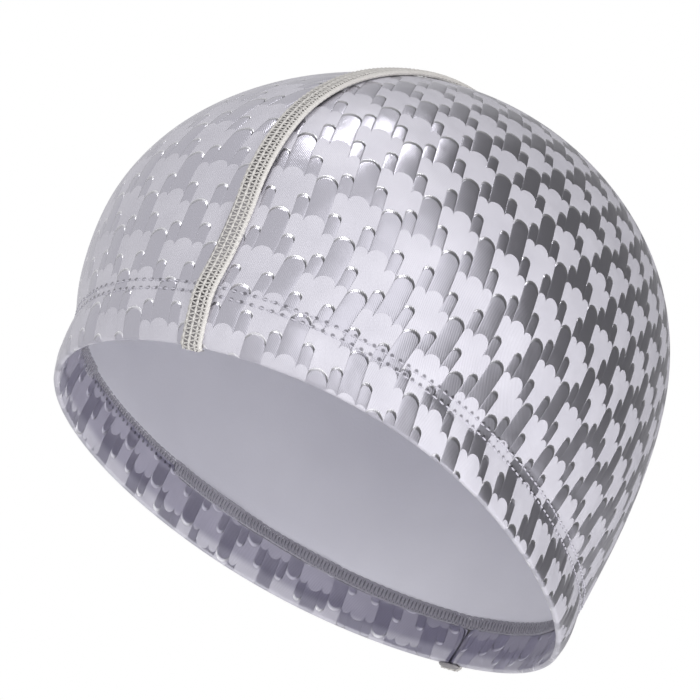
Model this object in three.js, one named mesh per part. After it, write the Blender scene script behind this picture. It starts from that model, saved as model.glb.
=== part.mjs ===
import * as THREE from 'three';

// A swim cap in the form that it takes on a head: two printed side panels, butted along the centre
// under a flatlock seam and folded in round the rim as a hem, over a plain lining. Millimetres, Z up.
// The cap's own frame has X to the wearer's left, Y to the back of the head and Z square to the rim.

// Size of the stretched cap, on its outside
const rimHalfLength = 98;
const rimHalfWidth = 78;
const crownHeight = 143;
// The rim is this much lower over the ears than halfway, and as much higher at brow and nape
const rimDip = 2.5;
// Share by which the front half of the rim is broader, and the back half narrower, than an ellipse
const frontBreadth = 0.16;
// Share by which brow and nape are both blunter than the ends of an ellipse
const endBluntness = 0.03;

// Cloth
const panelCloth = 1.0;
const liningCloth = 1.0;
const layerGap = 0.3;
const buttGap = 0.3;
const hemDepth = 16;

// Flatlock seam over the crown
const seamWidth = 7.6;
const seamThickness = 1.0;
const seamGap = 0.3;
const seamEndTurn = THREE.MathUtils.degToRad(125);

// As worn, the brow edge is higher than the nape edge
const rimSlope = THREE.MathUtils.degToRad(30);

// Fineness of the faceted cloth
const turnSteps = 28;
const crownSteps = 15;
const foldSteps = 4;
const hemSteps = 2;

// How the cloth fills out from the rim to the crown. Height is a share of crownHeight. Length and width
// are shares of an ellipsoid's half length and half width at that height, and shift is the way forward
// of the section's middle, as a share of rimHalfLength.
const sections = [
  { height: 0.00, length: 1.00, width: 1.00, shift: -0.02 },
  { height: 0.12, length: 1.05, width: 1.01, shift: 0.00 },
  { height: 0.25, length: 1.04, width: 1.12, shift: 0.03 },
  { height: 0.40, length: 1.10, width: 1.20, shift: 0.06 },
  { height: 0.55, length: 1.19, width: 1.24, shift: 0.04 },
  { height: 0.70, length: 1.27, width: 1.28, shift: -0.01 },
  { height: 0.85, length: 1.31, width: 1.33, shift: -0.05 },
  { height: 1.00, length: 1.34, width: 1.34, shift: -0.08 },
];

// Half of the seam's profile: how far out it is, as a share of half the width, and how high, as a
// share of the thickness
const seamProfile = [
  { out: 1.00, rise: 0.00 },
  { out: 0.96, rise: 0.45 },
  { out: 0.68, rise: 0.90 },
  { out: 0.00, rise: 1.00 },
];

// Depths are measured inward, square to the outside of the cap
const liningDepth = panelCloth + layerGap;
const hemBackDepth = panelCloth + layerGap;
const hemFaceDepth = hemBackDepth + panelCloth;
const foldRadius = hemFaceDepth / 2;
const foldBackRadius = layerGap / 2;

const frontTurn = 0;
const backTurn = Math.PI;
const crownClimb = Math.PI / 2;

// The climb runs from 0 at the rim to a right angle at the crown, and its sine is the height's share
const climbs = sections.map((section) => Math.asin(section.height));

function climbAt(rise) {
  return Math.asin(rise / crownHeight);
}

// Slope of one column at a row of the table, level at the crown so that the top is round
function columnSlope(column, row) {
  const last = sections.length - 1;
  if (row === last) {
    return 0;
  }
  const before = Math.max(row - 1, 0);
  const after = row + 1;
  return (sections[after][column] - sections[before][column]) / (climbs[after] - climbs[before]);
}

// One column's value at any climb, by a smooth cubic between the rows
function columnAt(column, climb) {
  let row = 0;
  while (row < sections.length - 2 && climb > climbs[row + 1]) {
    row += 1;
  }
  const step = climbs[row + 1] - climbs[row];
  const t = (climb - climbs[row]) / step;
  const low = sections[row][column];
  const high = sections[row + 1][column];
  const lowSlope = columnSlope(column, row) * step;
  const highSlope = columnSlope(column, row + 1) * step;
  const rise = high - low;
  const bend = 3 * rise - 2 * lowSlope - highSlope;
  const twist = lowSlope + highSlope - 2 * rise;
  return low + t * (lowSlope + t * (bend + t * twist));
}

// A point on the outside of the cap. The turn runs from 0 at the brow, by the wearer's left ear, to
// half a turn at the nape.
function outsidePoint(turn, climb) {
  const closing = Math.cos(climb);
  const height = Math.sin(climb);
  const egg = 1 + frontBreadth * closing ** 2 * Math.cos(turn);
  const blunt = endBluntness * closing ** 2 * (Math.sin(3 * turn) + Math.sin(turn));
  const halfWidth = rimHalfWidth * columnAt('width', climb) * closing;
  const halfLength = rimHalfLength * columnAt('length', climb) * closing;
  const forward = rimHalfLength * columnAt('shift', climb) + halfLength * Math.cos(turn);
  const lift = rimDip * (1 - height) ** 2 * Math.cos(2 * turn);
  const aside = halfWidth * (egg * Math.sin(turn) + blunt);
  return new THREE.Vector3(aside, -forward, crownHeight * height + lift);
}

// The direction out of the cap, square to its outside
function outwardAt(turn, climb) {
  const nudge = 1e-3;
  if (climb > crownClimb - nudge) {
    return new THREE.Vector3(0, 0, 1);
  }
  const around = outsidePoint(turn + nudge, climb).sub(outsidePoint(turn - nudge, climb));
  const upward = outsidePoint(turn, climb + nudge).sub(outsidePoint(turn, Math.max(climb - nudge, 0)));
  return upward.cross(around).negate().normalize();
}

// A point at a depth under the outside of the cap, or over it where the depth is negative
function clothPoint(turn, climb, depth) {
  return outsidePoint(turn, climb).addScaledVector(outwardAt(turn, climb), -depth);
}

// A point at a distance from the middle of the rim's fold, which is the bend angle round it: 0 on the
// outside of the cap, a right angle at the lowest edge and half a turn on the inside of the hem
function foldPoint(turn, bend, radius) {
  const rise = foldRadius - radius * Math.sin(bend);
  const depth = foldRadius - radius * Math.cos(bend);
  const onRim = clothPoint(turn, climbAt(Math.max(rise, 0)), depth);
  onRim.z += Math.min(rise, 0);
  return onRim;
}

function spread(from, to, steps) {
  return Array.from({ length: steps + 1 }, (_, i) => from + ((to - from) * i) / steps);
}

// Adds triangles to a list, leaving out those that a shared point closes up
function triangleList() {
  const corners = [];
  const add = (a, b, c) => {
    if (a.distanceTo(b) > 1e-6 && b.distanceTo(c) > 1e-6 && c.distanceTo(a) > 1e-6) {
      corners.push(a, b, c);
    }
  };
  const addQuad = (a, b, c, d) => {
    add(a, b, c);
    add(a, c, d);
  };
  const geometry = (mirrored) => {
    const flip = mirrored ? -1 : 1;
    const ordered = [];
    for (let i = 0; i < corners.length; i += 3) {
      ordered.push(corners[i], corners[i + (mirrored ? 2 : 1)], corners[i + (mirrored ? 1 : 2)]);
    }
    const positions = ordered.flatMap((corner) => [corner.x * flip, corner.y, corner.z]);
    const shape = new THREE.BufferGeometry();
    shape.setAttribute('position', new THREE.Float32BufferAttribute(positions, 3));
    shape.computeVertexNormals();
    return shape;
  };
  return { addQuad, add, geometry };
}

// A sheet of cloth between a face grid and a back grid, each a list of rows from the crown down, whose
// points run round the head from the brow by the left ear. An open sheet is closed along its two sides.
function sheetTriangles(faceRows, backRows, closedRound) {
  const list = triangleList();
  const columns = faceRows[0].length;
  for (let r = 0; r + 1 < faceRows.length; r += 1) {
    for (let c = 0; c + 1 < columns; c += 1) {
      list.addQuad(faceRows[r][c], faceRows[r + 1][c], faceRows[r + 1][c + 1], faceRows[r][c + 1]);
      list.addQuad(backRows[r][c], backRows[r][c + 1], backRows[r + 1][c + 1], backRows[r + 1][c]);
    }
  }
  const lowFace = faceRows[faceRows.length - 1];
  const lowBack = backRows[backRows.length - 1];
  for (let c = 0; c + 1 < columns; c += 1) {
    list.addQuad(lowFace[c], lowBack[c], lowBack[c + 1], lowFace[c + 1]);
  }
  if (!closedRound) {
    const far = columns - 1;
    for (let r = 0; r + 1 < faceRows.length; r += 1) {
      list.addQuad(faceRows[r][0], backRows[r][0], backRows[r + 1][0], faceRows[r + 1][0]);
      list.addQuad(faceRows[r][far], faceRows[r + 1][far], backRows[r + 1][far], backRows[r][far]);
    }
  }
  return list;
}

const clothGrey = new THREE.MeshStandardMaterial({ color: 0xa19fa8, roughness: 0.42, metalness: 0.35 });
const liningGrey = new THREE.MeshStandardMaterial({ color: 0xb1afbc, roughness: 0.9, metalness: 0 });
const threadGrey = new THREE.MeshStandardMaterial({ color: 0xb9b6b4, roughness: 0.75, metalness: 0 });

// Rows of the cloth from the crown down: to the top of the hem, and on to the start of the fold
const liningClimbs = spread(crownClimb, climbAt(hemDepth + layerGap), crownSteps);
const wallClimbs = spread(climbAt(hemDepth + layerGap), climbAt(foldRadius), hemSteps).slice(1);
const bodyClimbs = [...liningClimbs, ...wallClimbs];

// Half of the cap's outer cloth, from the centre of the crown to the rim, round the fold and up inside
function sidePanel(name, mirrored) {
  const turns = spread(frontTurn, backTurn, turnSteps);
  const bends = spread(0, Math.PI, foldSteps).slice(1);
  const hemClimbs = spread(climbAt(foldRadius), climbAt(hemDepth), hemSteps).slice(1);
  const gridOf = (bodyDepth, radius, hemDepthIn) => [
    ...bodyClimbs.map((climb) => turns.map((turn) => clothPoint(turn, climb, bodyDepth))),
    ...bends.map((bend) => turns.map((turn) => foldPoint(turn, bend, radius))),
    ...hemClimbs.map((climb) => turns.map((turn) => clothPoint(turn, climb, hemDepthIn))),
  ];
  const asideOfCentre = (rows) => rows.map((row) => row.map((point) => point.setX(point.x + buttGap / 2)));
  const face = asideOfCentre(gridOf(0, foldRadius, hemFaceDepth));
  const back = asideOfCentre(gridOf(panelCloth, foldBackRadius, hemBackDepth));
  const mesh = new THREE.Mesh(sheetTriangles(face, back, false).geometry(mirrored), clothGrey);
  mesh.name = name;
  return mesh;
}

// Plain inner cloth, in one piece from the crown to just above the turned-in hem
function lining() {
  const turns = spread(frontTurn, 2 * backTurn, 2 * turnSteps);
  const rowsAt = (depth) => liningClimbs.map((climb) => turns.map((turn) => clothPoint(turn, climb, depth)));
  const list = sheetTriangles(rowsAt(liningDepth), rowsAt(liningDepth + liningCloth), true);
  const mesh = new THREE.Mesh(list.geometry(false), liningGrey);
  mesh.name = 'lining';
  return mesh;
}

// The flatlock seam's stations over the crown, from under the brow's fold to under the nape's. Each has
// a point on the centre line of the cloth's outside and the direction out of the cloth there.
function seamStations() {
  const foldAt = (turn) => spread(seamEndTurn, 0, foldSteps).map((bend) => {
    const base = foldPoint(turn, bend, foldRadius);
    const out = base.clone().sub(foldPoint(turn, bend, 0)).normalize();
    return { base, out };
  });
  const wallAt = (turn) => bodyClimbs.slice(0, -1).reverse().map((climb) => (
    { base: outsidePoint(turn, climb), out: outwardAt(turn, climb) }
  ));
  const brow = [...foldAt(frontTurn), ...wallAt(frontTurn)];
  const nape = [...foldAt(backTurn), ...wallAt(backTurn)].reverse().slice(1);
  return [...brow, ...nape];
}

// Flat band of cover thread over the butted edges of the two panels
function crownSeam() {
  const rightHalf = seamProfile.map((corner) => ({ out: corner.out, rise: corner.rise }));
  const leftHalf = rightHalf.slice(0, -1).reverse().map((corner) => ({ out: -corner.out, rise: corner.rise }));
  const profile = [...rightHalf, ...leftHalf];
  const rings = seamStations().map(({ base, out }) => profile.map((corner) => {
    const point = base.clone().addScaledVector(out, seamGap + seamThickness * corner.rise);
    return point.setX((corner.out * seamWidth) / 2);
  }));
  const list = triangleList();
  for (let s = 0; s + 1 < rings.length; s += 1) {
    for (let c = 0; c < profile.length; c += 1) {
      const next = (c + 1) % profile.length;
      list.addQuad(rings[s][c], rings[s + 1][c], rings[s + 1][next], rings[s][next]);
    }
  }
  const first = rings[0];
  const last = rings[rings.length - 1];
  for (let c = 1; c + 1 < profile.length; c += 1) {
    list.add(first[0], first[c], first[c + 1]);
    list.add(last[0], last[c + 1], last[c]);
  }
  const mesh = new THREE.Mesh(list.geometry(false), threadGrey);
  mesh.name = 'crown_seam';
  return mesh;
}

const cap = new THREE.Group();
cap.add(sidePanel('panel_left', false), sidePanel('panel_right', true), lining(), crownSeam());

// The cap is set as it is worn, with the inside of its crown, where it sits on the head, at the origin
cap.rotation.x = -rimSlope;
const crownInside = liningClimbs
  .map((climb) => clothPoint(frontTurn, climb, liningDepth + liningCloth).applyEuler(cap.rotation))
  .reduce((top, point) => (point.z > top.z ? point : top));
cap.position.copy(crownInside).negate();

export default cap;
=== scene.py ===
import math

import bmesh
import bpy
from mathutils import Matrix, Vector
from mathutils.bvhtree import BVHTree
from mathutils.noise import noise


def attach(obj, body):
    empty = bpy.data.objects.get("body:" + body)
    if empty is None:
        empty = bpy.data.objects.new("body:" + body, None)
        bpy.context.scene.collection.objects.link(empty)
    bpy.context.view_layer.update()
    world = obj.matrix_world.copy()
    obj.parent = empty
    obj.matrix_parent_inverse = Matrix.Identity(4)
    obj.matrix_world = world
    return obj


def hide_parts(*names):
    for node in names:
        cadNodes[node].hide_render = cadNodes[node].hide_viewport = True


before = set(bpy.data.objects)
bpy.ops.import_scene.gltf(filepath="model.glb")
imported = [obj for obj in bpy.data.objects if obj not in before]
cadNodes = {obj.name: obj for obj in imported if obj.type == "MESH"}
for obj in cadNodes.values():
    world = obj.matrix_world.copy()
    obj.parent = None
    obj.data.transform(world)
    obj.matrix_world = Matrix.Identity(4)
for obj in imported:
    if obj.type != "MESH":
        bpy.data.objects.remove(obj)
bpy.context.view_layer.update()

# A lined stretch swim cap in the form that it takes on a head: two side panels of coated knit with foil
# scales, a cover seam over the crown, and a hem turned up inside under a twin row of stitches.

mm = 0.001
scene = bpy.context.scene

# The cap's own frame has X to the wearer's left, Y to the nape and Z square to the rim
capTilt = -30  # degrees about X, brow up
capShift = Vector((0, -15.854, -134.608)) * mm
capPlace = Matrix.Translation(capShift) @ Matrix.Rotation(math.radians(capTilt), 4, "X")
ownPlace = capPlace.inverted()

rim = {
    "halfLength": 98,  # mm, as in the solid
    "halfWidth": 78,
    "forward": -2,
    "dip": 2.5,
    "frontBreadth": 0.16,
    "bluntness": 0.03,
}


def hexLinear(code):
    values = [int(code[i:i + 2], 16) / 255 for i in (1, 3, 5)]
    return [v / 12.92 if v <= 0.04045 else ((v + 0.055) / 1.055) ** 2.4 for v in values] + [1]


def addNode(tree, kind, settings=None, links=None):
    node = tree.nodes.new(kind)
    for name, value in (settings or {}).items():
        setattr(node, name, value)
    for name, value in (links or {}).items():
        if isinstance(value, bpy.types.NodeSocket):
            tree.links.new(value, node.inputs[name])
        else:
            node.inputs[name].default_value = value
    return node


def newMaterial(name):
    material = bpy.data.materials.new(name)
    material.use_nodes = True
    material.node_tree.nodes.clear()
    return material, material.node_tree


def selectOnly(piece):
    bpy.ops.object.select_all(action="DESELECT")
    piece.select_set(True)
    bpy.context.view_layer.objects.active = piece


def newPiece(name, mesh):
    piece = bpy.data.objects.new(name, mesh)
    scene.collection.objects.link(piece)
    return piece


def smoothStep(low, high, value):
    t = min(max((value - low) / (high - low), 0), 1)
    return t * t * (3 - 2 * t)


# Where a point lies round the rim

def turnOf(own):
    # the rim is an ellipse that is broader in front and blunt at both ends, so its turn is found in steps
    ahead = (-own.y / mm - rim["forward"]) / rim["halfLength"]
    aside = abs(own.x) / mm / rim["halfWidth"]
    turn = math.atan2(aside, ahead)
    for _ in range(3):
        blunt = rim["bluntness"] * (math.sin(3 * turn) + math.sin(turn))
        turn = math.atan2(max(aside - blunt, 0) / (1 + rim["frontBreadth"] * math.cos(turn)), ahead)
    return math.copysign(turn, own.x)


def rimLift(turn):
    return rim["dip"] * math.cos(2 * turn) * mm


rimLengths = [0]  # metres along the rim from the brow, at each degree
for degree in range(180):
    a, b = (Vector((rim["halfWidth"] * math.sin(t), rim["halfLength"] * math.cos(t)))
            for t in (math.radians(degree), math.radians(degree + 1)))
    rimLengths.append(rimLengths[-1] + (b - a).length * mm)


def alongRim(turn):
    degree = min(abs(math.degrees(turn)), 179.999)
    low = rimLengths[int(degree)]
    return math.copysign(low + (rimLengths[int(degree) + 1] - low) * (degree % 1), turn)


# Camera

cameraSettings = {
    "turn": 35.07,  # degrees round the cap's own frame, from the brow towards the wearer's left
    "lift": -21.04,
    "roll": -25.65,
    "distance": 1.4434,
    "pivot": (0, 0, 45),  # mm in the cap's own frame
    "aim": (-10.3, -10.6, 52.3),
    "lens": 242.3,
}


def makeCamera():
    turn, lift, roll = (math.radians(cameraSettings[key]) for key in ("turn", "lift", "roll"))
    back = Vector((math.sin(turn) * math.cos(lift), -math.cos(turn) * math.cos(lift), math.sin(lift)))
    level = Vector((math.cos(turn), math.sin(turn), 0))
    up = math.sin(roll) * level + math.cos(roll) * back.cross(level)
    spot = capPlace @ (Vector(cameraSettings["pivot"]) * mm + back * cameraSettings["distance"])
    aim = capPlace @ (Vector(cameraSettings["aim"]) * mm)
    away = (spot - aim).normalized()
    aside = (capPlace.to_3x3() @ up).cross(away).normalized()
    turned = Matrix((aside, away.cross(aside), away)).transposed().to_4x4()
    camera = bpy.data.objects.new("camera", bpy.data.cameras.new("camera"))
    camera.data.lens = cameraSettings["lens"]
    camera.data.sensor_width = 36
    camera.matrix_world = Matrix.Translation(spot) @ turned
    scene.collection.objects.link(camera)
    scene.camera = camera


makeCamera()
print("camera set")


# Cloth made from the solids

def clothCopy(name, cadName):
    piece = newPiece(name, cadNodes[cadName].data.copy())
    piece.data.materials.clear()
    selectOnly(piece)
    bpy.ops.object.mode_set(mode="EDIT")
    bpy.ops.mesh.select_all(action="SELECT")
    bpy.ops.mesh.remove_doubles(threshold=0.02 * mm)
    bpy.ops.mesh.tris_convert_to_quads(face_threshold=1.2, shape_threshold=2.0, topology_influence=1.5)
    bpy.ops.object.mode_set(mode="OBJECT")
    return piece


def subdivide(piece, levels):
    selectOnly(piece)
    smoothing = piece.modifiers.new("smoothing", "SUBSURF")
    smoothing.levels = smoothing.render_levels = levels
    bpy.ops.object.modifier_apply(modifier=smoothing.name)
    bpy.ops.object.shade_smooth()


grain = {
    "crownHeight": 143,  # mm above the rim
    "crownBreadth": 0.34,  # how much fuller than a ball the cap is at the crown
    "middleTurn": 60,  # degrees from the brow, where the grain runs straight up to the crown
    "gathering": 0.65,  # 1 draws no columns together at the crown, and 0 draws all to one point
    "shift": (1.8, 3.2),  # mm
}


def layFlat(piece, side):
    # lays a map in metres on the outside of the cloth, round the fold and up inside the hem: up each line
    # of the solid's corners from the rim, with the lines brought only partly together at the crown
    selectOnly(piece)
    bpy.ops.object.mode_set(mode="EDIT")
    bpy.ops.mesh.select_mode(type="EDGE")
    bpy.ops.mesh.select_all(action="DESELECT")
    bpy.ops.mesh.edges_select_sharp(sharpness=math.radians(60))
    bpy.ops.mesh.mark_seam(clear=False)
    bpy.ops.mesh.select_mode(type="FACE")
    bpy.ops.object.mode_set(mode="OBJECT")
    bm = bmesh.new()
    bm.from_mesh(piece.data)
    flat = bm.loops.layers.uv.active or bm.loops.layers.uv.new("cloth")
    start = max(bm.faces, key=lambda face: side * face.calc_center_median().x)
    outside, front = {start}, [start]
    while front:
        for edge in front.pop().edges:
            if not edge.seam:
                fresh = [face for face in edge.link_faces if face not in outside]
                outside.update(fresh)
                front.extend(fresh)
    own = {vertex: ownPlace @ vertex.co for face in outside for vertex in face.verts}
    turns = {vertex: abs(turnOf(place)) for vertex, place in own.items()}
    pole = max(own, key=lambda vertex: own[vertex].z)

    def awayFrom(vertex):
        centre = own[pole].y if own[vertex].z > 0.1 else 0
        return Vector((own[vertex].x, own[vertex].y - centre, 0)).normalized()

    # the lowest ring of corners, walked both ways from the one below the side's middle
    lowestRing = [min(own, key=lambda vertex: own[vertex].z + abs(own[vertex].y) / 5)]
    for way in (0, -1):
        while True:
            here = lowestRing[way - 1 if way == 0 else 0]
            across = Vector((0, 0, 1)).cross(awayFrom(here))
            steps = [(abs((own[after] - own[here]).normalized().dot(across)), after)
                     for after in (edge.other_vert(here) for edge in here.link_edges)
                     if after in own and after not in lowestRing]
            best = max(steps, key=lambda step: step[0], default=(0, None))
            if best[0] < 0.75:
                break
            lowestRing.insert(0 if way else len(lowestRing), best[1])
    places = {}
    for lowest in lowestRing:
        for up in (1, -1):
            here, before, run = lowest, None, 0
            places[lowest] = (alongRim(turns[lowest]), 0)
            while here is not pole:
                outer = awayFrom(here)
                around = Vector((-outer.y, outer.x, 0))
                steps = []
                for edge in here.link_edges:
                    after = edge.other_vert(here)
                    if after in own and after is not before and (after is pole or after not in places):
                        way = own[after] - own[here]
                        if before is not None or up * way.dot(outer) > 0:
                            steps.append((abs(way.dot(around)) / way.length, way.length, after))
                best = min(steps, key=lambda step: step[0], default=None)
                if best is None or best[0] > 0.75:
                    break
                before, here = here, best[2]
                run += up * best[1]
                if here is not pole:
                    places[here] = (places[lowest][0], run)
    reach = max(run for _, run in places.values())
    middle = alongRim(math.radians(grain["middleTurn"]))

    def mapped(vertex, around, up):
        share = min(max(own[vertex].z / mm / grain["crownHeight"], 0), 0.999)
        girth = math.sqrt(1 - share * share) * (1 + grain["crownBreadth"] * share)
        across = (around - middle) * girth ** grain["gathering"]
        return Vector((side * across, up)) + Vector(grain["shift"]) * mm

    missed = 0
    for face in bm.faces:
        known = [places[vertex] for vertex in face.verts if vertex in places]
        for loop in face.loops:
            if face not in outside:
                loop[flat].uv = (loop.vert.co.y, loop.vert.co.z)
            elif loop.vert in places:
                loop[flat].uv = mapped(loop.vert, *places[loop.vert])
            else:
                missed += loop.vert is not pole
                around = sum(place[0] for place in known) / max(len(known), 1)
                loop[flat].uv = mapped(loop.vert, around, max([place[1] for place in known] + [0]) + 8 * mm)
    bm.to_mesh(piece.data)
    bm.free()
    piece.data.uv_layers.active.name = "cloth"
    print(piece.name, len(lowestRing), "lines, cloth runs up", round(reach, 3), "m, corners missed", missed)


hemSettings = {
    "stitchRises": (15.0, 17.7),  # mm above the rim, the two needle rows
    "groove": 0.30,  # mm that each row draws the cloth in
    "grooveWidth": 0.9,
    "puff": 0.45,  # mm that the turned-up hem stands out below them
    "pucker": 0.55,  # mm, small upright gathers below the rows
    "puckerSpacing": 7.0,
    "waist": 1.6,  # mm drawn in over the wearer's right ear
    "reach": 45,  # mm above the rim, past which nothing is moved
}


def hemRelief(turn, rise):
    low, high = hemSettings["stitchRises"]
    rows = sum(math.exp(-((rise - row) / hemSettings["grooveWidth"]) ** 2) for row in (low, high))
    below = math.sin(math.pi * min(max(rise, 0), low) / low)
    above = math.exp(-max(rise - high, 0) / 6) * smoothStep(low, high, rise)
    along = alongRim(turn) / mm / hemSettings["puckerSpacing"]
    gathers = noise(Vector((along, rise / 40, 3.1))) + 0.5 * noise(Vector((2.3 * along, rise / 30, 7.7)))
    waist = math.exp(-((rise - 17) / 9) ** 2) * smoothStep(0.15, 0.9, -math.sin(turn))
    return (
        hemSettings["puff"] * below
        - hemSettings["groove"] * rows
        + hemSettings["pucker"] * gathers * (below + 0.7 * above)
        - hemSettings["waist"] * waist
    ) * mm


def settleHem(piece):
    for vertex in piece.data.vertices:
        own = ownPlace @ vertex.co
        if own.z < hemSettings["reach"] * mm:
            turn = turnOf(own)
            rise = (own.z - rimLift(turn)) / mm
            outward = Vector((own.x / rim["halfWidth"] ** 2, own.y / rim["halfLength"] ** 2, 0)).normalized()
            vertex.co = capPlace @ (own + outward * hemRelief(turn, rise))
    piece.data.update()


def addRimMap(piece):
    # a second map, in metres: along the rim from the brow, and up from the rim
    layer = piece.data.uv_layers.new(name="rim", do_init=False)
    places = []
    for vertex in piece.data.vertices:
        own = ownPlace @ vertex.co
        turn = turnOf(own)
        places.append((alongRim(turn), own.z - rimLift(turn)))
    for loop in piece.data.loops:
        layer.data[loop.index].uv = places[loop.vertex_index]
    piece.data.uv_layers.active = piece.data.uv_layers["cloth"]


def makePanel(name, cadName, side):
    panel = clothCopy(name, cadName)
    layFlat(panel, side)
    subdivide(panel, 3)
    addRimMap(panel)
    settleHem(panel)
    return panel


panelLeft = makePanel("panelLeft", "panel_left", 1)
panelRight = makePanel("panelRight", "panel_right", -1)
print("side panels made")

liningSettings = {
    "drape": 0.5,  # mm, slack of the lining between the hem and the crown
    "drapeSpacing": 38,
    "drapeReach": 60,
    "drapeRise": 90,
    "drapeFrom": 18,  # mm above the rim
    "drapeFull": 40,
}


def makeLining():
    piece = clothCopy("innerLining", "lining")
    subdivide(piece, 2)
    for vertex in piece.data.vertices:
        own = ownPlace @ vertex.co
        turn = turnOf(own)
        around = Vector((math.sin(turn), math.cos(turn), 0)) * liningSettings["drapeReach"]
        upward = Vector((0, 0, own.z / mm / liningSettings["drapeRise"]))
        slack = 0.5 + 0.5 * noise(around / liningSettings["drapeSpacing"] * 2 + upward)
        share = smoothStep(liningSettings["drapeFrom"], liningSettings["drapeFull"], own.z / mm)
        inward = -own.normalized() * share * liningSettings["drape"] * mm * slack
        vertex.co = capPlace @ (own + inward)
    settleHem(piece)
    return piece


innerLining = makeLining()
print("lining made")

probeReach = 0.16  # metres out from the middle, clear of the cloth all round
edgeReach = 1.4  # mm above and below the raw edge
clothTrees = [BVHTree.FromObject(piece, bpy.context.evaluated_depsgraph_get())
              for piece in (panelLeft, panelRight, innerLining)]


def onCloth(turn, rise, inside):
    # the place on the cloth at this turn and rise, and the direction out of it
    aside = Vector((rim["halfWidth"] * math.sin(turn), -rim["halfLength"] * math.cos(turn), 0)).normalized()
    height = Vector((0, 0, rise * mm + rimLift(turn)))
    start = height if inside else height + aside * probeReach
    ray = aside if inside else -aside
    heading = (capPlace.to_3x3() @ ray).normalized()
    hits = [hit for hit in (tree.ray_cast(capPlace @ start, heading) for tree in clothTrees) if hit[0]]
    if not hits:
        return onCloth(turn + 0.012, rise, inside)  # the slit between the panels, under the cover seam
    place, normal, _, _ = min(hits, key=lambda hit: hit[3])
    return place, normal if normal.dot(heading) < 0 else -normal


def acrossEdge(turn, rise):
    # the middle between the hem and the lining, on both sides of the slit between them
    low, high = onCloth(turn, rise - edgeReach, True), onCloth(turn, rise + edgeReach, True)
    return (low[0] + high[0]) / 2, (low[1] + high[1]).normalized()


# Threads

def stationsFrom(places, outs, closed):
    # places along a seam with the run, the way out of the cloth and the way across
    count = len(places)
    stations, run = [], 0
    for i, (place, out) in enumerate(zip(places, outs)):
        ahead = places[(i + 1) % count] if closed else places[min(i + 1, count - 1)]
        behind = places[i - 1] if closed or i else places[0]
        along = (ahead - behind).normalized()
        out = (out - along * out.dot(along)).normalized()
        stations.append({"place": place, "out": out, "across": along.cross(out), "run": run})
        run += (places[(i + 1) % count] - place).length
    return stations, run if closed else stations[-1]["run"]


def stationAt(stations, total, run, closed):
    run = run % total if closed else min(max(run, 0), total - 1e-9)
    low, high = 0, len(stations)
    while high - low > 1:
        middle = (low + high) // 2
        low, high = (middle, high) if stations[middle]["run"] <= run else (low, middle)
    here = stations[low]
    after = stations[(low + 1) % len(stations)]
    span = (after["run"] if low + 1 < len(stations) else total) - here["run"]
    t = (run - here["run"]) / span if span > 0 else 0
    return [here[key].lerp(after[key], t) for key in ("place", "out", "across")]


def runThread(name, seam, thread):
    # one thread of a seam, laid as a round cord that may swing from side to side and swell
    stations, total, closed = seam["stations"], seam["total"], seam["closed"]
    pitch = total / round(total / (thread["pitch"] * mm))
    steps = thread["steps"]
    count = int(round(total / pitch * steps))
    curve = bpy.data.curves.new(name, "CURVE")
    curve.dimensions = "3D"
    curve.bevel_depth = thread["radius"] * mm
    curve.bevel_resolution = thread.get("roundness", 1)
    curve.use_fill_caps = not closed
    spline = curve.splines.new("POLY")
    spline.points.add(count - 1 if closed else count)
    for i, point in enumerate(spline.points):
        trim = seam.get("trim", 0) * mm
        run = total * i / count if closed else trim + (total - 2 * trim) * i / count
        place, out, across = stationAt(stations, total, run, closed)
        phase = 2 * math.pi * (i / steps + thread.get("phase", 0))
        aside = thread["across"] + thread.get("swing", 0) * math.sin(phase)
        lift = thread.get("lift", 0) + thread.get("hop", 0) * math.cos(2 * phase)
        spot = place + across * aside * mm + out * (seam["heightAt"](aside) + lift) * mm
        point.co = (*spot, 1)
        point.radius = 1 + thread.get("swell", 0) * math.cos(phase)
    spline.use_cyclic_u = closed
    piece = newPiece(name, curve)
    selectOnly(piece)
    bpy.ops.object.convert(target="MESH")
    piece = bpy.context.view_layer.objects.active
    bpy.ops.object.shade_smooth()
    return piece


def joinPieces(name, pieces):
    bpy.ops.object.select_all(action="DESELECT")
    for piece in pieces:
        piece.select_set(True)
    bpy.context.view_layer.objects.active = pieces[0]
    bpy.ops.object.join()
    joined = bpy.context.view_layer.objects.active
    joined.name = joined.data.name = name
    return joined


coverSeam = {
    "halfWidth": 3.8,
    "trim": 2.6,  # mm that the threads stop short of the band's ends under the fold
    "threads": [
        {"across": -2.7, "radius": 0.42, "pitch": 2.2, "steps": 6, "swell": 0.28, "lift": 0.30},
        {"across": -0.4, "radius": 0.42, "pitch": 2.2, "steps": 6, "swell": 0.28, "lift": 0.32,
         "phase": 0.5},
        {"across": 1.6, "radius": 0.40, "pitch": 2.2, "steps": 6, "swell": 0.25, "lift": 0.30},
        {"across": -1.5, "swing": 1.3, "radius": 0.26, "pitch": 2.2, "steps": 10, "lift": 0.30, "hop": 0.12},
        {"across": 0.7, "swing": 1.2, "radius": 0.26, "pitch": 2.2, "steps": 10, "lift": 0.30, "hop": 0.12,
         "phase": 0.5},
        {"across": 2.9, "radius": 0.78, "pitch": 2.2, "steps": 4, "lift": -0.05, "swell": 0.05,
         "roundness": 2},
        {"across": 2.6, "swing": 1.1, "radius": 0.22, "pitch": 2.2, "steps": 10, "lift": 0.55, "hop": 0.2},
        {"across": -3.5, "swing": 0.25, "radius": 0.30, "pitch": 2.2, "steps": 8, "lift": 0.15},
    ],
}


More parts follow.
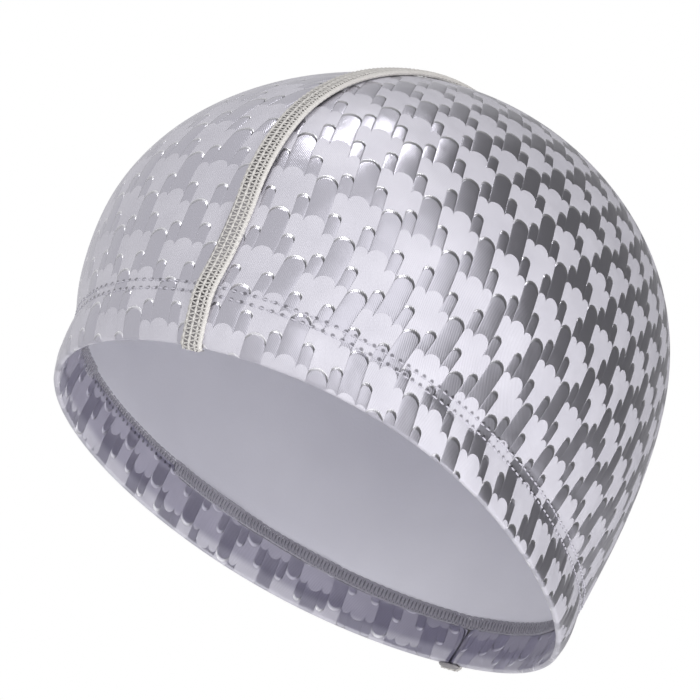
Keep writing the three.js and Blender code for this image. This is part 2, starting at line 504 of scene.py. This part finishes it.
def makeCoverSeam():
    base = clothCopy("coverSeamBase", "crown_seam")
    ridge = [v.co.copy() for v in base.data.vertices if abs(v.co.x) < 0.01 * mm]
    ordered = [min(ridge, key=lambda co: ((ownPlace @ co).y, (ownPlace @ co).z))]
    # from the point furthest forward, one end first and then the other
    rest = [co for co in ridge if co is not ordered[0]]
    while rest:
        near = min(rest, key=lambda co: min((co - ordered[-1]).length, (co - ordered[0]).length))
        rest = [co for co in rest if co is not near]
        if (near - ordered[0]).length < (near - ordered[-1]).length:
            ordered.insert(0, near)
        else:
            ordered.append(near)
    middle = capPlace @ Vector((0, 0, 40 * mm))
    smooth = []
    for i in range(len(ordered) - 1):
        p = [ordered[max(i - 1, 0)], ordered[i], ordered[i + 1], ordered[min(i + 2, len(ordered) - 1)]]
        for step in range(6):
            t = step / 6
            bend = 2 * p[0] - 5 * p[1] + 4 * p[2] - p[3]
            twist = 3 * p[1] - p[0] - 3 * p[2] + p[3]
            smooth.append(0.5 * (2 * p[1] + (p[2] - p[0]) * t + bend * t * t + twist * t * t * t))
    smooth.append(ordered[-1])
    if (ownPlace @ smooth[0]).y > 0:
        smooth.reverse()
    outs = []
    for i, place in enumerate(smooth):
        along = smooth[min(i + 1, len(smooth) - 1)] - smooth[max(i - 1, 0)]
        outs.append(Vector((1, 0, 0)).cross(along).normalized())
    if outs[len(outs) // 2].dot(smooth[len(outs) // 2] - middle) < 0:
        outs = [-out for out in outs]
    stations, total = stationsFrom(smooth, outs, False)
    half = coverSeam["halfWidth"]

    def heightAt(aside):
        share = min(abs(aside) / half, 1)
        return -0.9 * share ** 4 - 0.35

    seam = {"stations": stations, "total": total, "closed": False, "heightAt": heightAt,
            "trim": coverSeam["trim"]}
    subdivide(base, 2)
    threads = [runThread(f"coverThread{i}", seam, thread) for i, thread in enumerate(coverSeam["threads"])]
    return base, joinPieces("coverSeamThreads", threads)


seamBase, seamThreads = makeCoverSeam()
print("cover seam made")

looperStrip = {
    "rise": 16.2,  # mm above the rim, over the raw edge of the hem
    "halfWidth": 2.3,
    "thickness": 0.25,
    "threads": [
        {"across": -1.9, "radius": 0.30, "pitch": 2.6, "steps": 6, "swell": 0.3, "lift": 0.2},
        {"across": 1.9, "radius": 0.30, "pitch": 2.6, "steps": 6, "swell": 0.3, "lift": 0.2, "phase": 0.5},
        {"across": -0.1, "swing": 1.9, "radius": 0.24, "pitch": 2.6, "steps": 10, "lift": 0.28},
        {"across": 0.1, "swing": 1.9, "radius": 0.24, "pitch": 2.6, "steps": 10, "lift": 0.4, "phase": 0.5},
        {"across": 0.0, "swing": 2.0, "radius": 0.16, "pitch": 1.3, "steps": 8, "lift": 0.15, "phase": 0.2},
    ],
}


def bandRing(name, stations, halfWidth, thickness, sink):
    profile = [(-halfWidth, -sink), (-halfWidth * 0.85, thickness * 0.8), (0, thickness),
               (halfWidth * 0.85, thickness * 0.8), (halfWidth, -sink)]
    verts, faces, wide = [], [], len(profile)
    for station in stations:
        place, across, out = station["place"], station["across"], station["out"]
        verts += [place + across * a * mm + out * h * mm for a, h in profile]
    count = len(stations)
    for s in range(count):
        for c in range(wide):
            d, t = (c + 1) % wide, (s + 1) % count
            faces.append((s * wide + c, s * wide + d, t * wide + d, t * wide + c))
    mesh = bpy.data.meshes.new(name)
    mesh.from_pydata(verts, [], faces)
    piece = newPiece(name, mesh)
    selectOnly(piece)
    bpy.ops.object.mode_set(mode="EDIT")
    bpy.ops.mesh.select_all(action="SELECT")
    bpy.ops.mesh.normals_make_consistent(inside=False)
    bpy.ops.object.mode_set(mode="OBJECT")
    bpy.ops.object.shade_smooth()
    return piece


def makeLooperStrip():
    # where a cover stitch is seen from inside, its looper threads bridge the raw edge
    hits = [acrossEdge(2 * math.pi * (i + 0.5) / 360, looperStrip["rise"]) for i in range(360)]
    stations, total = stationsFrom([hit[0] for hit in hits], [hit[1] for hit in hits], True)
    band = bandRing("looperBand", stations, looperStrip["halfWidth"], looperStrip["thickness"], 0.2)
    seam = {"stations": stations, "total": total, "closed": True, "heightAt": lambda aside: 0}
    threads = [runThread(f"looper{i}", seam, thread) for i, thread in enumerate(looperStrip["threads"])]
    return band, joinPieces("looperThreads", threads)


looperBand, looperThreads = makeLooperStrip()
print("looper strip made")

needleRows = {
    "length": 1.9,  # mm of thread that shows in each stitch
    "pitch": 2.6,
    "thickness": 0.62,
}


def makeNeedleRows():
    bpy.ops.object.select_all(action="DESELECT")
    bpy.ops.mesh.primitive_uv_sphere_add(segments=8, ring_count=6, radius=0.5 * mm)
    pattern = bpy.context.view_layer.objects.active
    bpy.ops.object.mode_set(mode="EDIT")
    bpy.ops.mesh.select_all(action="SELECT")
    bpy.ops.transform.resize(value=(needleRows["length"], needleRows["thickness"], needleRows["thickness"]))
    bpy.ops.object.mode_set(mode="OBJECT")
    stitches = bmesh.new()
    for rise in hemSettings["stitchRises"]:
        hits = [onCloth(2 * math.pi * (i + 0.5) / 360, rise, False) for i in range(360)]
        stations, total = stationsFrom([hit[0] for hit in hits], [hit[1] for hit in hits], True)
        count = round(total / mm / needleRows["pitch"])
        for i in range(count):
            place, out, across = stationAt(stations, total, total * i / count, True)
            along = out.cross(across).normalized()
            wander = noise(Vector((i * 0.61, rise, 0.5)))
            spot = place + across * 0.12 * wander * mm + out * 0.02 * mm
            turned = Matrix((along, across.normalized(), out.normalized())).transposed().to_4x4()
            tilt = Matrix.Rotation(0.25 * wander, 4, "Z")
            start = len(stitches.verts)
            stitches.from_mesh(pattern.data)
            stitches.verts.ensure_lookup_table()
            for vertex in stitches.verts[start:]:
                vertex.co = Matrix.Translation(spot) @ turned @ tilt @ vertex.co
    mesh = bpy.data.meshes.new("needleStitches")
    stitches.to_mesh(mesh)
    stitches.free()
    bpy.data.objects.remove(pattern)
    piece = newPiece("needleStitches", mesh)
    selectOnly(piece)
    bpy.ops.object.shade_smooth()
    return piece


needleStitches = makeNeedleRows()
print("needle rows made")


# Materials

foilCloth = {
    "ground": "#cfcdd6",
    "groundShade": "#bcbac4",
    "foil": "#c6c4cf",
    # painted highlight: near-white colour for the bright arc along each foil lobe's top edge
    "paintedArcHighlight": "#f6f5fa",
    "columnPitch": 8.9,  # mm between lobes across the cloth
    "lobeHalf": 2.8,
    "sideHalf": 1.65,
    "rowHeight": 13.1,
    "pairStep": 10.0,
    "sideRise": 2.5,
    "edgeWidth": 1.3,  # mm below a lobe's top that its raised edge takes
    "edgeRise": 0.60,
    "bowRise": 0.22,
    "knitRise": 0.035,
    "unevenRise": 0.9,
    # painted shade: the dark colour of the needle holes
    "needleHoleShade": "#5a5860",
    # painted shade: colour that darkens the turned-up inside of the hem
    "hemInsideShade": "#cccad4",
}


def makeFoilCloth():
    # Coated swimwear knit with bonded foil scales: satin ground, and lobes of brushed foil that mirror
    # softly and have a raised round top edge, which catches the light as a bright arc; that arc is also a
    # painted highlight, lightened to near white in the base colour
    material, tree = newMaterial("coated knit with bonded foil scales")
    flat = addNode(tree, "ShaderNodeUVMap", {"uv_map": "cloth"})
    inMm = addNode(tree, "ShaderNodeVectorMath", {"operation": "SCALE"}, {0: flat.outputs[0], "Scale": 1000})
    parts = addNode(tree, "ShaderNodeSeparateXYZ", {}, {0: inMm.outputs[0]})
    values = {"u": parts.outputs[0], "v": parts.outputs[1]}
    pitch, lobe, side = foilCloth["columnPitch"], foilCloth["lobeHalf"], foilCloth["sideHalf"]
    height, step = foilCloth["rowHeight"], foilCloth["pairStep"]
    # the wide lobes stand in columns, each pair of columns a step higher than the last
    steps = [
        ("across", "DIVIDE", "u", pitch),
        ("column", "ROUND", "across", 0),
        ("offShare", "SUBTRACT", "across", "column"),
        ("off", "MULTIPLY", "offShare", pitch),
        ("columnNext", "ADD", "column", 1),
        ("pairShare", "MULTIPLY", "columnNext", 0.5),
        ("pair", "FLOOR", "pairShare", 0),
        ("offSquare", "MULTIPLY", "off", "off"),
        ("archSquare", "SUBTRACT", lobe * lobe, "offSquare"),
        ("archPart", "MAXIMUM", "archSquare", 0),
        ("arch", "SQRT", "archPart", 0),
        ("pairTop", "MULTIPLY", "pair", step),
        ("below", "SUBTRACT", "pairTop", "v"),
        ("belowFlat", "SUBTRACT", "below", lobe),
        ("belowArch", "ADD", "belowFlat", "arch"),
        ("rows", "DIVIDE", "belowArch", height),
        ("row", "FLOOR", "rows", 0),
        ("rowShare", "SUBTRACT", "rows", "row"),
        ("drop", "MULTIPLY", "rowShare", height),
        ("count", "ADD", "column", "pair"),
        ("countDown", "SUBTRACT", "count", "row"),
        ("odd", "FLOORED_MODULO", "countDown", 2),
        ("offSize", "ABSOLUTE", "off", 0),
        ("inLobe", "LESS_THAN", "offSize", lobe),
        ("even", "LESS_THAN", "odd", 0.5),
        ("foilLobe", "MULTIPLY", "even", "inLobe"),
        # the narrow lobes fill the strips between the columns, at half the height
        ("strip", "FLOOR", "across", 0),
        ("stripShare", "SUBTRACT", "across", "strip"),
        ("stripMiddle", "SUBTRACT", "stripShare", 0.5),
        ("offStrip", "MULTIPLY", "stripMiddle", pitch),
        ("stripPairShare", "MULTIPLY", "strip", 0.5),
        ("stripPair", "FLOOR", "stripPairShare", 0),
        ("stripSquare", "MULTIPLY", "offStrip", "offStrip"),
        ("smallArchSquare", "SUBTRACT", side * side, "stripSquare"),
        ("smallArchPart", "MAXIMUM", "smallArchSquare", 0),
        ("smallArch", "SQRT", "smallArchPart", 0),
        ("stripStep", "MULTIPLY", "stripPair", step),
        ("stripTop", "ADD", "stripStep", foilCloth["sideRise"]),
        ("stripBelow", "SUBTRACT", "stripTop", "v"),
        ("stripFlat", "SUBTRACT", "stripBelow", side),
        ("stripArch", "ADD", "stripFlat", "smallArch"),
        ("stripRows", "DIVIDE", "stripArch", height / 2),
        ("stripRow", "FLOOR", "stripRows", 0),
        ("stripRowShare", "SUBTRACT", "stripRows", "stripRow"),
        ("stripDrop", "MULTIPLY", "stripRowShare", height / 2),
        ("stripOdd", "FLOORED_MODULO", "stripRow", 2),
        ("stripEven", "LESS_THAN", "stripOdd", 0.5),
        ("offStripSize", "ABSOLUTE", "offStrip", 0),
        ("inStrip", "LESS_THAN", "offStripSize", side),
        ("foilStrip", "MULTIPLY", "stripEven", "inStrip"),
        ("foil", "MAXIMUM", "foilLobe", "foilStrip"),
        # how far below the top edge, for whichever lobe this is
        ("dropLobe", "MULTIPLY", "drop", "inLobe"),
        ("dropStrip", "MULTIPLY", "stripDrop", "inStrip"),
        ("dropHere", "ADD", "dropLobe", "dropStrip"),
        ("bowLobe", "DIVIDE", "arch", lobe),
        ("bowStrip", "DIVIDE", "smallArch", side),
        ("bow", "MAXIMUM", "bowLobe", "bowStrip"),
    ]
    for name, operation, first, second in steps:
        node = addNode(tree, "ShaderNodeMath", {"operation": operation},
                       {0: values.get(first, first), 1: values.get(second, second)})
        values[name] = node.outputs[0]
    edge = addNode(tree, "ShaderNodeMapRange", {"interpolation_type": "SMOOTHSTEP"}, {
        "Value": values["dropHere"], "From Max": foilCloth["edgeWidth"], "To Min": 1.0, "To Max": 0.0})
    rise = addNode(tree, "ShaderNodeMapRange", {"interpolation_type": "SMOOTHSTEP"}, {
        "Value": values["dropHere"], "From Max": foilCloth["edgeWidth"], "To Max": foilCloth["edgeRise"]})
    bowed = addNode(tree, "ShaderNodeMath", {"operation": "MULTIPLY"}, {
        0: values["bow"], 1: foilCloth["bowRise"]})
    lifted = addNode(tree, "ShaderNodeMath", {"operation": "ADD"}, {0: rise.outputs[0], 1: bowed.outputs[0]})
    foilHeight = addNode(tree, "ShaderNodeMath", {"operation": "MULTIPLY"}, {
        0: lifted.outputs[0], 1: values["foil"]})
    # where the painted arc highlight goes, along each foil lobe's top edge
    paintedArcMask = addNode(tree, "ShaderNodeMath", {"operation": "MULTIPLY"}, {
        0: edge.outputs[0], 1: values["foil"]})
    # fine knit, as slanting bands about half a millimetre apart
    knit = addNode(tree, "ShaderNodeTexWave", {"bands_direction": "DIAGONAL"}, {
        "Vector": inMm.outputs[0], "Scale": 0.9, "Distortion": 1.2, "Detail": 1.0, "Detail Scale": 1.5})
    knitHeight = addNode(tree, "ShaderNodeMath", {"operation": "MULTIPLY"}, {
        0: knit.outputs["Fac"], 1: foilCloth["knitRise"]})
    total = addNode(tree, "ShaderNodeMath", {"operation": "ADD"}, {
        0: foilHeight.outputs[0], 1: knitHeight.outputs[0]})
    # broad, soft unevenness of the stretched cloth
    uneven = addNode(tree, "ShaderNodeTexNoise", {"noise_dimensions": "2D"}, {
        "Vector": inMm.outputs[0], "Scale": 0.06, "Detail": 2.0})
    unevenHeight = addNode(tree, "ShaderNodeMath", {"operation": "MULTIPLY_ADD"}, {
        0: uneven.outputs["Fac"], 1: foilCloth["unevenRise"], 2: total.outputs[0]})
    relief = addNode(tree, "ShaderNodeBump", {}, {
        "Height": unevenHeight.outputs[0], "Strength": 0.9, "Distance": 0.001})
    # painted shade for the needle holes along the two stitch rows: the holes are not cut, and show as dark
    # spots in the colour
    rimMap = addNode(tree, "ShaderNodeUVMap", {"uv_map": "rim"})
    rimMm = addNode(tree, "ShaderNodeVectorMath", {"operation": "SCALE"}, {
        0: rimMap.outputs[0], "Scale": 1000})
    rimParts = addNode(tree, "ShaderNodeSeparateXYZ", {}, {0: rimMm.outputs[0]})
    values["along"], values["rise"] = rimParts.outputs[0], rimParts.outputs[1]
    low, high = hemSettings["stitchRises"]
    steps = [
        ("fromMiddle", "SUBTRACT", "rise", (low + high) / 2),
        ("toMiddle", "ABSOLUTE", "fromMiddle", 0),
        ("fromRow", "SUBTRACT", "toMiddle", (high - low) / 2),
        ("rowSquare", "MULTIPLY", "fromRow", "fromRow"),
        ("stitches", "DIVIDE", "along", needleRows["pitch"]),
        ("stitchPart", "FRACT", "stitches", 0),
        ("fromHole", "SUBTRACT", "stitchPart", 0.5),
        ("holeMm", "MULTIPLY", "fromHole", needleRows["pitch"]),
        ("holeSquare", "MULTIPLY", "holeMm", "holeMm"),
        ("holeFar", "ADD", "rowSquare", "holeSquare"),
        ("holeDistance", "SQRT", "holeFar", 0),
    ]
    for name, operation, first, second in steps:
        node = addNode(tree, "ShaderNodeMath", {"operation": operation},
                       {0: values.get(first, first), 1: values.get(second, second)})
        values[name] = node.outputs[0]
    hole = addNode(tree, "ShaderNodeMapRange", {"interpolation_type": "SMOOTHSTEP"}, {
        "Value": values["holeDistance"], "From Min": 0.35, "From Max": 0.75, "To Min": 0.75, "To Max": 0.0})
    ground = addNode(tree, "ShaderNodeMix", {"data_type": "RGBA"}, {
        0: uneven.outputs["Fac"], 6: hexLinear(foilCloth["groundShade"]), 7: hexLinear(foilCloth["ground"])})
    withFoil = addNode(tree, "ShaderNodeMix", {"data_type": "RGBA"}, {
        0: values["foil"], 6: ground.outputs[2], 7: hexLinear(foilCloth["foil"])})
    # painted highlight: the base colour turns near white along each foil lobe's top edge
    withPaintedArc = addNode(tree, "ShaderNodeMix", {"data_type": "RGBA"}, {
        0: paintedArcMask.outputs[0], 6: withFoil.outputs[2], 7: hexLinear(foilCloth["paintedArcHighlight"])})
    withHoleShade = addNode(tree, "ShaderNodeMix", {"data_type": "RGBA"}, {
        0: hole.outputs[0], 6: withPaintedArc.outputs[2], 7: hexLinear(foilCloth["needleHoleShade"])})
    # painted shade: the turned-up inside of the hem lies in shade, and its colour is darkened for it
    inside = addNode(tree, "ShaderNodeMapRange", {"interpolation_type": "SMOOTHSTEP"}, {
        "Value": values["v"], "From Min": -3.5, "From Max": -0.5, "To Min": 1.0, "To Max": 0.0})
    withHemShade = addNode(tree, "ShaderNodeMix", {"data_type": "RGBA", "blend_type": "MULTIPLY"}, {
        0: inside.outputs[0], 6: withHoleShade.outputs[2], 7: hexLinear(foilCloth["hemInsideShade"])})
    metal = addNode(tree, "ShaderNodeMapRange", {}, {
        "Value": values["foil"], "To Min": 0.25, "To Max": 0.9})
    rough = addNode(tree, "ShaderNodeMapRange", {}, {
        "Value": values["foil"], "To Min": 0.5, "To Max": 0.3})
    shader = addNode(tree, "ShaderNodeBsdfPrincipled", {}, {
        "Base Color": withHemShade.outputs[2], "Metallic": metal.outputs[0], "Roughness": rough.outputs[0],
        "Normal": relief.outputs[0], "Sheen Weight": 0.08, "Sheen Roughness": 0.5})
    addNode(tree, "ShaderNodeOutputMaterial", {}, {0: shader.outputs[0]})
    return material


def makeLiningCloth():
    # Brushed polyester jersey, dyed to match: quite matt, with a faint upright rib and a soft nap
    material, tree = newMaterial("brushed polyester jersey")
    coords = addNode(tree, "ShaderNodeTexCoord")
    own = addNode(tree, "ShaderNodeMapping", {}, {
        "Vector": coords.outputs["Object"], "Rotation": (math.radians(-capTilt), 0, 0),
        "Scale": (1000, 1000, 1000)})
    rib = addNode(tree, "ShaderNodeTexNoise", {}, {"Vector": own.outputs[0], "Scale": 1.1, "Detail": 3.0})
    soft = addNode(tree, "ShaderNodeTexNoise", {}, {"Vector": own.outputs[0], "Scale": 0.035, "Detail": 2.0})
    colour = addNode(tree, "ShaderNodeMix", {"data_type": "RGBA"}, {
        0: soft.outputs["Fac"], 6: hexLinear("#cecdd6"), 7: hexLinear("#dddce4")})
    relief = addNode(tree, "ShaderNodeBump", {}, {
        "Height": rib.outputs["Fac"], "Strength": 0.35, "Distance": 0.00015})
    shader = addNode(tree, "ShaderNodeBsdfPrincipled", {}, {
        "Base Color": colour.outputs[2], "Roughness": 0.88, "Normal": relief.outputs[0],
        "Sheen Weight": 0.25, "Sheen Roughness": 0.6})
    addNode(tree, "ShaderNodeOutputMaterial", {}, {0: shader.outputs[0]})
    return material


def makeThread(name, light, dark):
    # Textured polyester thread: matt, its crimped filaments seen as a fine mottle
    material, tree = newMaterial(name)
    coords = addNode(tree, "ShaderNodeTexCoord")
    fibre = addNode(tree, "ShaderNodeTexNoise", {}, {
        "Vector": coords.outputs["Object"], "Scale": 1600.0, "Detail": 2.0})
    colour = addNode(tree, "ShaderNodeMix", {"data_type": "RGBA"}, {
        0: fibre.outputs["Fac"], 6: hexLinear(dark), 7: hexLinear(light)})
    relief = addNode(tree, "ShaderNodeBump", {}, {
        "Height": fibre.outputs["Fac"], "Strength": 0.5, "Distance": 0.0001})
    shader = addNode(tree, "ShaderNodeBsdfPrincipled", {}, {
        "Base Color": colour.outputs[2], "Roughness": 0.68, "Normal": relief.outputs[0],
        "Sheen Weight": 0.2, "Sheen Roughness": 0.5})
    addNode(tree, "ShaderNodeOutputMaterial", {}, {0: shader.outputs[0]})
    return material


foilMaterial = makeFoilCloth()
for panel in (panelLeft, panelRight):
    panel.data.materials.append(foilMaterial)
innerLining.data.materials.append(makeLiningCloth())
seamBase.data.materials.append(makeThread("cover seam ground, shaded", "#8f8c8d", "#767377"))
seamThreads.data.materials.append(makeThread("cover seam thread", "#cfccc9", "#b0adaa"))
looperBand.data.materials.append(makeThread("looper ground, shaded", "#75737d", "#5c5a64"))
looperThreads.data.materials.append(makeThread("looper thread", "#a19fa9", "#86848e"))
needleStitches.data.materials.append(makeThread("needle thread", "#bebcc6", "#a2a0aa"))
print("materials made")


# Floor and light

studio = {
    "floorDrop": 0.75,
    "floorRadius": 1.1,
    "bright": 0.70,
    "dark": 0.03,
    "darkSide": (0.62, 0.69, 0.42),
    "key": {"place": (-0.5, 0.0, 2.0), "size": 0.6, "power": 9},
    "front": {"place": (1.0, -1.75, 0.9), "size": 2.2, "power": 11},
    "fill": {"place": (1.7, -0.4, 0.1), "size": 1.2, "power": 30},
    "under": {"place": (0.4, -1.2, -0.9), "size": 0.8, "power": 8.5},
}


def makeFloor():
    bpy.ops.object.select_all(action="DESELECT")
    bpy.ops.mesh.primitive_circle_add(vertices=64, radius=studio["floorRadius"], fill_type="NGON",
                                      location=(0, 0, -studio["floorDrop"]))
    floor = bpy.context.view_layer.objects.active
    floor.name = "floor"
    bpy.ops.object.transform_apply(location=True, rotation=True, scale=True)
    material, tree = newMaterial("pale matt board")
    coords = addNode(tree, "ShaderNodeTexCoord")
    mottle = addNode(tree, "ShaderNodeTexNoise", {}, {"Vector": coords.outputs["Object"], "Scale": 8.0})
    colour = addNode(tree, "ShaderNodeMix", {"data_type": "RGBA"}, {
        0: mottle.outputs["Fac"], 6: hexLinear("#f0f0f2"), 7: hexLinear("#f7f7f8")})
    shader = addNode(tree, "ShaderNodeBsdfPrincipled", {}, {
        "Base Color": colour.outputs[2], "Roughness": 0.85})
    addNode(tree, "ShaderNodeOutputMaterial", {}, {0: shader.outputs[0]})
    floor.data.materials.append(material)


def makeLight(name, settings, glossy):
    lamp = bpy.data.lights.new(name, "AREA")
    lamp.size = settings["size"]
    lamp.energy = settings["power"]
    light = bpy.data.objects.new(name, lamp)
    light.location = settings["place"]
    aim = Vector((0, 0, -0.08)) - light.location
    light.rotation_euler = aim.to_track_quat("-Z", "Y").to_euler()
    light.visible_glossy = glossy
    scene.collection.objects.link(light)


def makeWorld():
    # a bright studio whose far right corner is dark, which the foil mirrors, before a white ground
    world = bpy.data.worlds.new("studio")
    world.use_nodes = True
    tree = world.node_tree
    tree.nodes.clear()
    coords = addNode(tree, "ShaderNodeTexCoord")
    dark = Vector(studio["darkSide"]).normalized()
    facing = addNode(tree, "ShaderNodeVectorMath", {"operation": "DOT_PRODUCT"}, {
        0: coords.outputs["Generated"], 1: tuple(dark)})
    level = addNode(tree, "ShaderNodeMapRange", {"interpolation_type": "SMOOTHSTEP"}, {
        "Value": facing.outputs["Value"], "From Min": 0.15, "From Max": 0.8,
        "To Min": studio["bright"], "To Max": studio["dark"]})
    path = addNode(tree, "ShaderNodeLightPath")
    strength = addNode(tree, "ShaderNodeMix", {}, {
        0: path.outputs["Is Camera Ray"], 2: level.outputs[0], 3: 1.0})
    light = addNode(tree, "ShaderNodeBackground", {}, {
        "Color": (1, 1, 1, 1), "Strength": strength.outputs[0]})
    addNode(tree, "ShaderNodeOutputWorld", {}, {0: light.outputs[0]})
    scene.world = world
    scene.view_settings.view_transform = "Standard"


makeFloor()
makeLight("keyLight", studio["key"], True)
makeLight("frontLight", studio["front"], True)
makeLight("fillLight", studio["fill"], False)
makeLight("underLight", studio["under"], False)
makeWorld()
print("floor and light set")


# What each piece is to the frame

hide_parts("panel_left")
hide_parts("panel_right")
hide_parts("lining")
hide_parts("crown_seam")
slots = {
    "coated_cloth": (panelLeft, panelRight),
    "lining_cloth": (innerLining,),
    "seam_thread": (seamBase, seamThreads, looperBand, looperThreads, needleStitches),
}
for slot, pieces in slots.items():
    for piece in pieces:
        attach(piece, "root")
